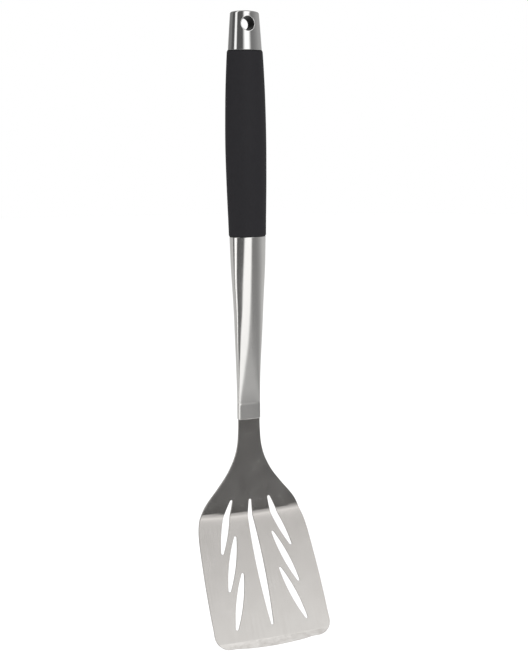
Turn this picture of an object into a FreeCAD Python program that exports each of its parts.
import FreeCAD, Part
import math
import os

# Grill spatula, millimetres: a bent, slotted blade on a tapering tube with an oval grip.
# Frame: origin at the centre of the hanging hole, on the handle axis.
# +Z runs up the handle to the end cap, -Y is the food side (the concave side of
# the bent blade), +X completes the frame.

V = FreeCAD.Vector

# ---------------------------------------------------------------- dimensions
# heights along the handle
Z_CAP_TOP = 9.0           # crown of the end cap
Z_CAP_RIM = -17.1         # open rim of the end cap
Z_GRIP_TOP = -17.55       # soft sleeve, upper end
Z_GRIP_BOTTOM = -142.0    # soft sleeve, lower end
Z_SHOULDER = -142.4       # shaft shoulder under the grip
Z_TAIL_TOP = -24.0        # upper end of the reduced tail inside the grip
Z_CREASE = -262.0         # shaft stops tapering, pressed collar begins
Z_MOUTH = -272.8          # mouth of the pressed collar
Z_BEND = -345.0           # sharp kink of the blade's food side

# steel sheet
T_BLADE = 1.5             # blade, neck and tang
T_TUBE = 1.0              # shaft tube wall
T_CAP = 0.8               # end cap wall

# blade, on the flat pattern: s is the distance from the bend, positive to the front
BLADE_ANGLE = math.radians(33.0)  # between neck and blade
BEND_RADIUS = 6.0         # food-side radius of the bend
BLADE_LENGTH = 93.1       # bend to the middle of the front edge
BLADE_HALF_W = 43.15
CORNER_R = 10.0           # front corners
CORNER_SHIFT = 0.35       # corner arcs moved to the front
CORNER_STEPS = 8          # divisions of each corner arc
FRONT_SAG = 1.75          # bulge of the front edge between the corner centres
FRONT_X = (30.0, 22.0, 14.0, 7.0, 0.0)  # points along half the front edge
STOCK_OVERRUN = 4.0       # sheet beyond the front edge before trimming
CUT_HALF_W = 60.0         # half-width of the sheet and of cuts across it
CUT_REACH = 60.0          # reach of the planform cuts each way

BEVEL_WIDTH = 5.4         # ground front bevel on the food side
BEVEL_DEPTH = 1.0         # sheet removed at the front edge
BEVEL_OVERRUN = 3.0       # wedge beyond the front edge
BEVEL_CLEARANCE = 1.0     # wedge above the food side

TANG_HALF_W = 6.0
TANG_TAPER = 0.6          # narrowing of each side at the tip
TANG_LENGTH = 24.0        # inside the collar and the lower shaft
NECK_GAP = 0.1            # neck shoulders to the collar mouth
SHOULDER_CUT = (6.0, 20.0, 30.0)  # x, y, z size of the cut beside the tang

# slots: a centre leaf and three pairs of side leaves, all rounded lenses
SIDE_TOP = (14.15, 13.85)       # x, s of the upper tip of the middle pair
SIDE_BOTTOM = (26.45, 52.20)    # x, s of the lower tip of the middle pair
SIDE_PITCH = 26.63              # pairs repeat along the blade
SIDE_HALF_W = 2.62
CENTRE_ENDS = (-12.0, 79.0)     # s of the centre leaf's tips
CENTRE_HALF_W = 2.98
TIP_R = 1.0
LEAF_LONG_STEPS = 9             # points on a quarter leaf's long arc
LEAF_TIP_STEPS = 6              # points on a quarter leaf's tip arc

# weld beads along both faces of the neck
BEAD_HALF_W = 7.6
BEAD_HEIGHT = 0.85
BEAD_INSET = 0.1                # from the collar's outer face
BEAD_BULGE = (0.78, 0.74)       # mid-arc point as fractions of depth and height

# grip
TOP_FLANGE_INSET = 0.25         # core flanges inside the sleeve ends
LOW_FLANGE_INSET = 0.15
SLEEVE_EDGE_R = 0.7

# end cap, plug and hanging hole
CROWN_R = 36.0                  # outer radius of the domed crown
CAP_EDGE_R = 1.7                # crown edge: cap outside, cap inside, plug
CAP_INNER_EDGE_R = 1.0
PLUG_EDGE_R = 0.9
CAP_FLARE = 0.07                # widening per mm where a cup opens below the rim
CAP_CUT_OVERRUN = 2.0           # cap hollow beyond the rim
BORE_R = 4.4                    # bore of the plug
CAP_HOLE_R = 4.6                # holes in the end cap
LIP_R = 0.55                    # rounded outer edge of each cap hole
LIP_MIN_Y = 6.25                # outer hole edges lie beyond this mean |y|

FIT = 0.10                      # gap between assembled parts

# ---------------------------------------------------------------- tables
# neck and blade outline: s, half-width
OUTLINE = [(-73.2, 8.0), (-67.0, 8.06), (-62.0, 8.25), (-58.0, 8.48), (-54.0, 8.9),
           (-50.0, 9.6), (-46.0, 10.65), (-42.0, 12.05), (-38.0, 13.9),
           (-34.0, 16.0), (-30.0, 18.55), (-26.0, 21.5), (-22.0, 24.6),
           (-18.0, 27.9), (-14.0, 31.2), (-10.0, 34.05), (-6.0, 36.2),
           (-2.0, 37.9), (2.0, 39.35), (6.0, 40.35), (11.0, 41.1), (17.0, 41.65),
           (24.0, 42.05), (32.0, 42.4), (41.0, 42.75), (50.0, 43.0), (60.0, 43.12),
           (70.0, 43.15), (79.0, 43.1)]

# end cap side: height, half-width x
CAP = [(Z_CAP_RIM, 11.74), (-10.0, 11.2), (-3.0, 10.68), (4.0, 10.2), (9.6, 9.85)]
CAP_RIM_HALF_D = 7.87           # half-depth y at the rim

# oval sections: height, half-width x, half-depth y
GRIP = [(Z_GRIP_TOP, 12.28, 8.23), (-31.0, 13.06, 8.75), (-50.0, 13.84, 9.27),
        (-64.0, 14.15, 9.48), (-80.0, 14.31, 9.59), (-96.0, 14.16, 9.49),
        (-112.0, 13.86, 9.29), (-128.0, 13.42, 8.99), (Z_GRIP_BOTTOM, 13.1, 8.78)]
CORE = [(Z_CAP_RIM, 10.6, 6.6), (-31.0, 11.4, 7.1), (-50.0, 12.1, 7.55),
        (-80.0, 12.5, 7.8), (-112.0, 12.1, 7.55), (Z_SHOULDER, 11.5, 7.2)]
TAIL = [(Z_SHOULDER - 1.0, 10.0, 6.1), (Z_TAIL_TOP, 8.2, 4.9)]
TAIL_VOID = [(Z_SHOULDER - 2.0, *TAIL[0][1:]), (Z_TAIL_TOP + 1.0, *TAIL[1][1:])]
SPIGOT = [(Z_CAP_RIM + 1.0, 7.0, 3.7), (-50.0, 7.0, 3.7)]
SPIGOT_VOID = [(-22.0, 5.4, 2.1), (-52.0, 5.4, 2.1)]

# shaft: height, half-width, half-depth, squareness (2 is an ellipse)
SHAFT = [(Z_SHOULDER, 13.1, 8.68, 2.0), (-154.0, 12.8, 8.0, 2.05),
         (-166.0, 12.36, 7.32, 2.12), (-178.0, 11.68, 6.63, 2.2),
         (-190.0, 10.97, 5.94, 2.35), (-203.0, 10.36, 5.2, 2.6),
         (-216.0, 9.78, 4.45, 2.9), (-228.0, 9.18, 3.76, 3.4),
         (-239.0, 8.72, 3.12, 4.2), (-250.5, 8.36, 2.46, 6.0),
         (Z_CREASE, 8.27, 1.8, 9.0)]
SECTION_POINTS = 72             # spline points per shaft section
DENSE_STEPS = 2880              # steps used to measure along a section


# ---------------------------------------------------------------- helpers
def superellipse(half_w, half_d, squareness):
    """Points spaced evenly along a superellipse, starting at +X."""
    dense = []
    for i in range(DENSE_STEPS + 1):
        angle = 2 * math.pi * i / DENSE_STEPS
        cos, sin = math.cos(angle), math.sin(angle)
        dense.append((half_w * math.copysign(abs(cos) ** (2.0 / squareness), cos),
                      half_d * math.copysign(abs(sin) ** (2.0 / squareness), sin)))
    run = [0.0]
    for start, end in zip(dense, dense[1:]):
        run.append(run[-1] + math.hypot(end[0] - start[0], end[1] - start[1]))
    points = []
    j = 0
    for i in range(SECTION_POINTS):
        wanted = run[-1] * i / SECTION_POINTS
        while run[j + 1] < wanted:
            j += 1
        part = (wanted - run[j]) / max(run[j + 1] - run[j], 1e-12)
        points.append(tuple(p + part * (q - p) for p, q in zip(dense[j], dense[j + 1])))
    return points


def spline(points, closed=False):
    curve = Part.BSplineCurve()
    curve.interpolate(Points=points, PeriodicFlag=closed)
    return curve.toShape()


def oval(z, half_w, half_d):
    return Part.Wire([Part.Ellipse(V(0, 0, z), half_w, half_d).toShape()])


def oval_loft(stations, ruled=False):
    return Part.makeLoft([oval(*station) for station in stations], True, ruled)


def squared(z, half_w, half_d, squareness):
    points = [V(x, y, z) for x, y in superellipse(half_w, half_d, squareness)]
    return Part.Wire([spline(points, closed=True)])


def squared_loft(stations):
    return Part.makeLoft([squared(*station) for station in stations], True, False)


def rise(wire, height):
    """Prism on a level wire, along Z."""
    return Part.Face(wire).extrude(V(0, 0, height))


def offset(stations, amount):
    """Stations with both half-sizes grown by an amount."""
    return [(z, half_w + amount, half_d + amount, *rest)
            for z, half_w, half_d, *rest in stations]


def station_at(first, second, z):
    """Station at height z on the straight line through two stations."""
    part = (z - first[0]) / (second[0] - first[0])
    return (z,) + tuple(p + part * (q - p) for p, q in zip(first[1:], second[1:]))


def extrude_across(face, half_w):
    """Prism on a YZ face, centred on X = 0."""
    face.translate(V(-half_w, 0, 0))
    return face.extrude(V(2 * half_w, 0, 0))


def cross_bore(radius):
    """Cylinder along Y through the origin."""
    return Part.makeCylinder(radius, 40, V(0, -20, 0), V(0, 1, 0))


def export(shape, name):
    solids = shape.Solids
    assert solids and all(s.isValid() and s.Volume > 0 for s in solids), name
    piece = solids[0] if len(solids) == 1 else Part.makeCompound(solids)
    piece.exportStep("parts/%s.step" % name)


# ---------------------------------------------------------------- blade
HALF_ANGLE = BLADE_ANGLE / 2
KINK = V(0, -T_BLADE / 2, Z_BEND)                            # sharp kink of the food side
DOWN = V(0, -math.sin(BLADE_ANGLE), -math.cos(BLADE_ANGLE))  # along the blade to the front
FOOD = V(0, -math.cos(BLADE_ANGLE), math.sin(BLADE_ANGLE))   # out of the blade's food side
# the halving plane lies at equal angles to neck and blade
PLANE_DOWN = V(0, -math.sin(HALF_ANGLE), -math.cos(HALF_ANGLE))
PLANE_NORMAL = V(0, -math.cos(HALF_ANGLE), math.sin(HALF_ANGLE))


def flat(x, s):
    """A flat-pattern point laid on the halving plane."""
    return KINK + V(x, 0, 0) + PLANE_DOWN * (s * math.cos(HALF_ANGLE))


def side_profile():
    """Edge-on outline of the bent sheet in the YZ plane."""
    setback = BEND_RADIUS * math.tan(HALF_ANGLE)
    top = Z_MOUTH + TANG_LENGTH
    neck_food = KINK + V(0, 0, setback)
    blade_food = KINK + DOWN * setback
    neck_back = neck_food + V(0, T_BLADE, 0)
    blade_back = blade_food - FOOD * T_BLADE
    centre = neck_food + V(0, -BEND_RADIUS, 0)
    outward = KINK - centre
    outward.normalize()
    mid_food = centre + outward * BEND_RADIUS
    mid_back = centre + outward * (BEND_RADIUS + T_BLADE)
    top_food = V(0, -T_BLADE / 2, top)
    top_back = V(0, T_BLADE / 2, top)
    end_food = KINK + DOWN * (BLADE_LENGTH + STOCK_OVERRUN)
    end_back = end_food - FOOD * T_BLADE
    edges = [Part.makeLine(top_food, neck_food),
             Part.Arc(neck_food, mid_food, blade_food).toShape(),
             Part.makeLine(blade_food, end_food),
             Part.makeLine(end_food, end_back),
             Part.makeLine(end_back, blade_back),
             Part.Arc(blade_back, mid_back, neck_back).toShape(),
             Part.makeLine(neck_back, top_back),
             Part.makeLine(top_back, top_food)]
    return Part.Face(Part.Wire(edges))


def planform():
    """Closed outline of tang, neck and blade on the halving plane."""
    corner_x = BLADE_HALF_W - CORNER_R
    corner_s = BLADE_LENGTH - FRONT_SAG - CORNER_R + CORNER_SHIFT
    front_r = (corner_x ** 2 + FRONT_SAG ** 2) / (2 * FRONT_SAG)
    right = [(half_w, s) for s, half_w in OUTLINE]
    for i in range(1, CORNER_STEPS):
        angle = math.radians(90.0 * i / CORNER_STEPS)
        right.append((corner_x + CORNER_R * math.cos(angle),
                      corner_s + CORNER_R * math.sin(angle)))
    for x in FRONT_X:
        right.append((x, BLADE_LENGTH - (front_r - math.sqrt(front_r ** 2 - x * x))))
    left = [(-x, s) for x, s in reversed(right[:-1])]
    points = [flat(x, s) for x, s in right + left]

    neck_s = OUTLINE[0][0]
    tang_s = Z_BEND - (Z_MOUTH + TANG_LENGTH)
    tip_half_w = TANG_HALF_W - TANG_TAPER
    tang = [points[-1], flat(-TANG_HALF_W, neck_s), flat(-tip_half_w, tang_s),
            flat(tip_half_w, tang_s), flat(TANG_HALF_W, neck_s), points[0]]
    lines = [Part.makeLine(p, q) for p, q in zip(tang, tang[1:])]
    return Part.Face(Part.Wire([spline(points)] + lines))


def leaf(tip_a, tip_b, half_w):
    """Rounded lens between two tips (x, s), as a face on the halving plane."""
    length = math.hypot(tip_b[0] - tip_a[0], tip_b[1] - tip_a[1])
    half_len = length / 2
    long_r = ((half_len ** 2 - 2 * half_len * TIP_R + half_w ** 2)
              / (2 * (half_w - TIP_R)))
    dir_x, dir_s = (tip_b[0] - tip_a[0]) / length, (tip_b[1] - tip_a[1]) / length
    mid_x, mid_s = (tip_a[0] + tip_b[0]) / 2, (tip_a[1] + tip_b[1]) / 2
    tip_centre = half_len - TIP_R
    sweep = math.atan2(tip_centre, long_r - half_w)  # long arc, middle to tip arc
    # one quarter, u along the leaf and w across it
    quarter = []
    for i in range(LEAF_LONG_STEPS):
        angle = sweep * i / LEAF_LONG_STEPS
        quarter.append((long_r * math.sin(angle), half_w - long_r * (1 - math.cos(angle))))
    for i in range(LEAF_TIP_STEPS):
        angle = (math.pi / 2 - sweep) * (1 - i / LEAF_TIP_STEPS)
        quarter.append((tip_centre + TIP_R * math.cos(angle), TIP_R * math.sin(angle)))
    quarter.append((half_len, 0.0))
    ring = quarter + [(u, -w) for u, w in reversed(quarter[1:-1])]
    ring += [(-u, -w) for u, w in quarter]
    ring += [(-u, w) for u, w in reversed(quarter[1:-1])]
    points = [flat(mid_x + u * dir_x - w * dir_s, mid_s + u * dir_s + w * dir_x)
              for u, w in ring]
    return Part.Face(Part.Wire([spline(points, closed=True)]))


def through(face):
    """Prism on a halving-plane face, reaching both ways through the sheet."""
    body = face.copy()
    body.translate(PLANE_NORMAL * -CUT_REACH)
    return body.extrude(PLANE_NORMAL * (2 * CUT_REACH))


def make_slots():
    slots = [through(leaf((0, CENTRE_ENDS[0]), (0, CENTRE_ENDS[1]), CENTRE_HALF_W))]
    for k in (-1, 0, 1):
        for sign in (1, -1):
            tips = [(sign * x, s + k * SIDE_PITCH) for x, s in (SIDE_TOP, SIDE_BOTTOM)]
            slots.append(through(leaf(*tips, SIDE_HALF_W)))
    return slots


def bevel_wedge():
    """Waste above the front bevel, on the food side."""
    start = KINK + DOWN * (BLADE_LENGTH - BEVEL_WIDTH)
    end = KINK + DOWN * (BLADE_LENGTH + BEVEL_OVERRUN)
    end_depth = BEVEL_DEPTH * (BEVEL_WIDTH + BEVEL_OVERRUN) / BEVEL_WIDTH
    points = [start, end - FOOD * end_depth,
              end + FOOD * BEVEL_CLEARANCE, start + FOOD * BEVEL_CLEARANCE]
    return extrude_across(Part.Face(Part.makePolygon(points + points[:1])), CUT_HALF_W)


def make_blade():
    sheet = extrude_across(side_profile(), CUT_HALF_W)
    blade = sheet.common(through(planform())).cut(make_slots())
    # square shoulders that butt against the collar mouth
    cut_w, cut_d, _ = SHOULDER_CUT
    for x in (TANG_HALF_W, -TANG_HALF_W - cut_w):
        corner = V(x, -cut_d / 2, Z_MOUTH - NECK_GAP)
        blade = blade.cut(Part.makeBox(*SHOULDER_CUT, corner))
    return blade.cut(bevel_wedge())


# ---------------------------------------------------------------- shaft
def make_shaft_tube():
    """Tapering tube with a pressed collar below and a reduced tail above."""
    collar_drop = Z_MOUTH - Z_CREASE
    outer = squared_loft(SHAFT)
    collar = rise(squared(*SHAFT[-1]), collar_drop)
    tail = oval_loft(TAIL, ruled=True)
    skin = outer.fuse(collar).fuse(tail)

    inner = offset(SHAFT, -T_TUBE)
    # the void starts one wall below the shoulder
    inner_top = station_at(inner[0], inner[1], Z_SHOULDER - T_TUBE)
    void = squared_loft([inner_top] + inner[1:])
    void_collar = rise(squared(*inner[-1]), collar_drop - 1)
    void_tail = oval_loft(offset(TAIL_VOID, -T_TUBE), ruled=True)
    return skin.cut(void).cut(void_collar).cut(void_tail).removeSplitter()


def make_weld_beads():
    """A bead on each face of the neck, under the collar mouth."""
    beads = []
    for sign in (-1, 1):
        y_neck = sign * T_BLADE / 2
        depth = sign * (SHAFT[-1][2] - BEAD_INSET) - y_neck
        corner = V(0, y_neck, Z_MOUTH)
        on_lip = V(0, y_neck + depth, Z_MOUTH)
        on_neck = V(0, y_neck, Z_MOUTH - BEAD_HEIGHT)
        bulge = V(0, y_neck + depth * BEAD_BULGE[0], Z_MOUTH - BEAD_HEIGHT * BEAD_BULGE[1])
        face = Part.Face(Part.Wire([Part.makeLine(corner, on_lip),
                                    Part.Arc(on_lip, bulge, on_neck).toShape(),
                                    Part.makeLine(on_neck, corner)]))
        beads.append(extrude_across(face, BEAD_HALF_W))
    return Part.makeCompound(beads)


# ---------------------------------------------------------------- grip
def make_grip_core(core_body):
    """Core with a flange at each end, hollowed for the shaft tail."""
    _, top_w, top_d = offset(GRIP, -TOP_FLANGE_INSET)[0]
    _, low_w, low_d = offset(GRIP, -LOW_FLANGE_INSET)[-1]
    top_flange = rise(oval(Z_CAP_RIM, top_w, top_d), Z_GRIP_TOP - Z_CAP_RIM)
    low_flange = rise(oval(Z_SHOULDER, low_w, low_d), Z_GRIP_BOTTOM - Z_SHOULDER)
    # the tail's taper, run out past both ends of the core
    loose_tail = offset(TAIL, FIT)
    void = oval_loft([station_at(*loose_tail, Z_SHOULDER - 2),
                      station_at(*loose_tail, Z_CAP_RIM + 2)], ruled=True)
    return core_body.fuse(top_flange).fuse(low_flange).cut(void).removeSplitter()


def make_grip_sleeve(core_body):
    skin = oval_loft(GRIP)
    rims = [e for e in skin.Edges if abs(e.BoundBox.ZMin - e.BoundBox.ZMax) < 1e-6]
    return skin.makeFillet(SLEEVE_EDGE_R, rims).cut(core_body)


# ---------------------------------------------------------------- end cap and plug
def dome(inset, edge_r, z_open):
    """Oval cup body inside the cap's skin: turned about Z, then narrowed along Y."""
    rim_z, rim_half_w = CAP[0]
    side = [V(rim_half_w - inset + (rim_z - z_open) * CAP_FLARE, 0, z_open)]
    side += [V(half_w - inset, 0, z) for z, half_w in CAP if z > z_open + 0.5]
    axis_low, axis_high = V(0, 0, z_open), V(0, 0, side[-1].z)
    face = Part.Face(Part.Wire([Part.makeLine(axis_low, side[0]),
                                spline(side),
                                Part.makeLine(side[-1], axis_high),
                                Part.makeLine(axis_high, axis_low)]))
    body = face.revolve(V(0, 0, 0), V(0, 0, 1), 360)
    crown_r = CROWN_R - inset
    body = body.common(Part.makeSphere(crown_r, V(0, 0, Z_CAP_TOP - inset - crown_r)))
    # the level circle where the crown meets the side
    boxes = [(e, e.BoundBox) for e in body.Edges]
    rim = [e for e, box in boxes
           if box.ZMin > 4.0 and box.ZMax - box.ZMin < 1e-3 and box.XMax - box.XMin > 10]
    body = body.makeFillet(edge_r, rim)
    squash = FreeCAD.Matrix()
    squash.A22 = (CAP_RIM_HALF_D - inset) / (rim_half_w - inset)
    return body.transformGeometry(squash)


def is_outer_hole_edge(edge):
    if edge.Degenerated or edge.Length < 2.0:
        return False
    first, last = edge.FirstParameter, edge.LastParameter
    points = [edge.valueAt(first + (last - first) * i / 24.0) for i in range(25)]
    on_hole = all(abs(math.hypot(p.x, p.z) - CAP_HOLE_R) < 0.02 for p in points)
    return on_hole and sum(abs(p.y) for p in points) / len(points) > LIP_MIN_Y


def make_end_cap():
    cap = dome(0.0, CAP_EDGE_R, Z_CAP_RIM)
    cap = cap.cut(dome(T_CAP, CAP_INNER_EDGE_R, Z_CAP_RIM - CAP_CUT_OVERRUN))
    cap = cap.cut(cross_bore(CAP_HOLE_R))
    return cap.makeFillet(LIP_R, [e for e in cap.Edges if is_outer_hole_edge(e)])


def make_hanger_plug():
    """Filling of the end cap, with a hollow spigot below it."""
    plug = dome(T_CAP + FIT, PLUG_EDGE_R, Z_CAP_RIM)
    plug = plug.fuse(oval_loft(SPIGOT, ruled=True)).cut(oval_loft(SPIGOT_VOID, ruled=True))
    return plug.cut(cross_bore(BORE_R)).removeSplitter()


# ---------------------------------------------------------------- build
os.makedirs("parts", exist_ok=True)
grip_core_body = oval_loft(CORE)
export(make_blade(), "blade")
export(make_shaft_tube(), "shaft_tube")
export(make_weld_beads(), "mouth_weld_bead")
export(make_grip_core(grip_core_body), "grip_core")
export(make_grip_sleeve(grip_core_body), "grip_sleeve")
export(make_end_cap(), "end_cap")
export(make_hanger_plug(), "hanger_plug")
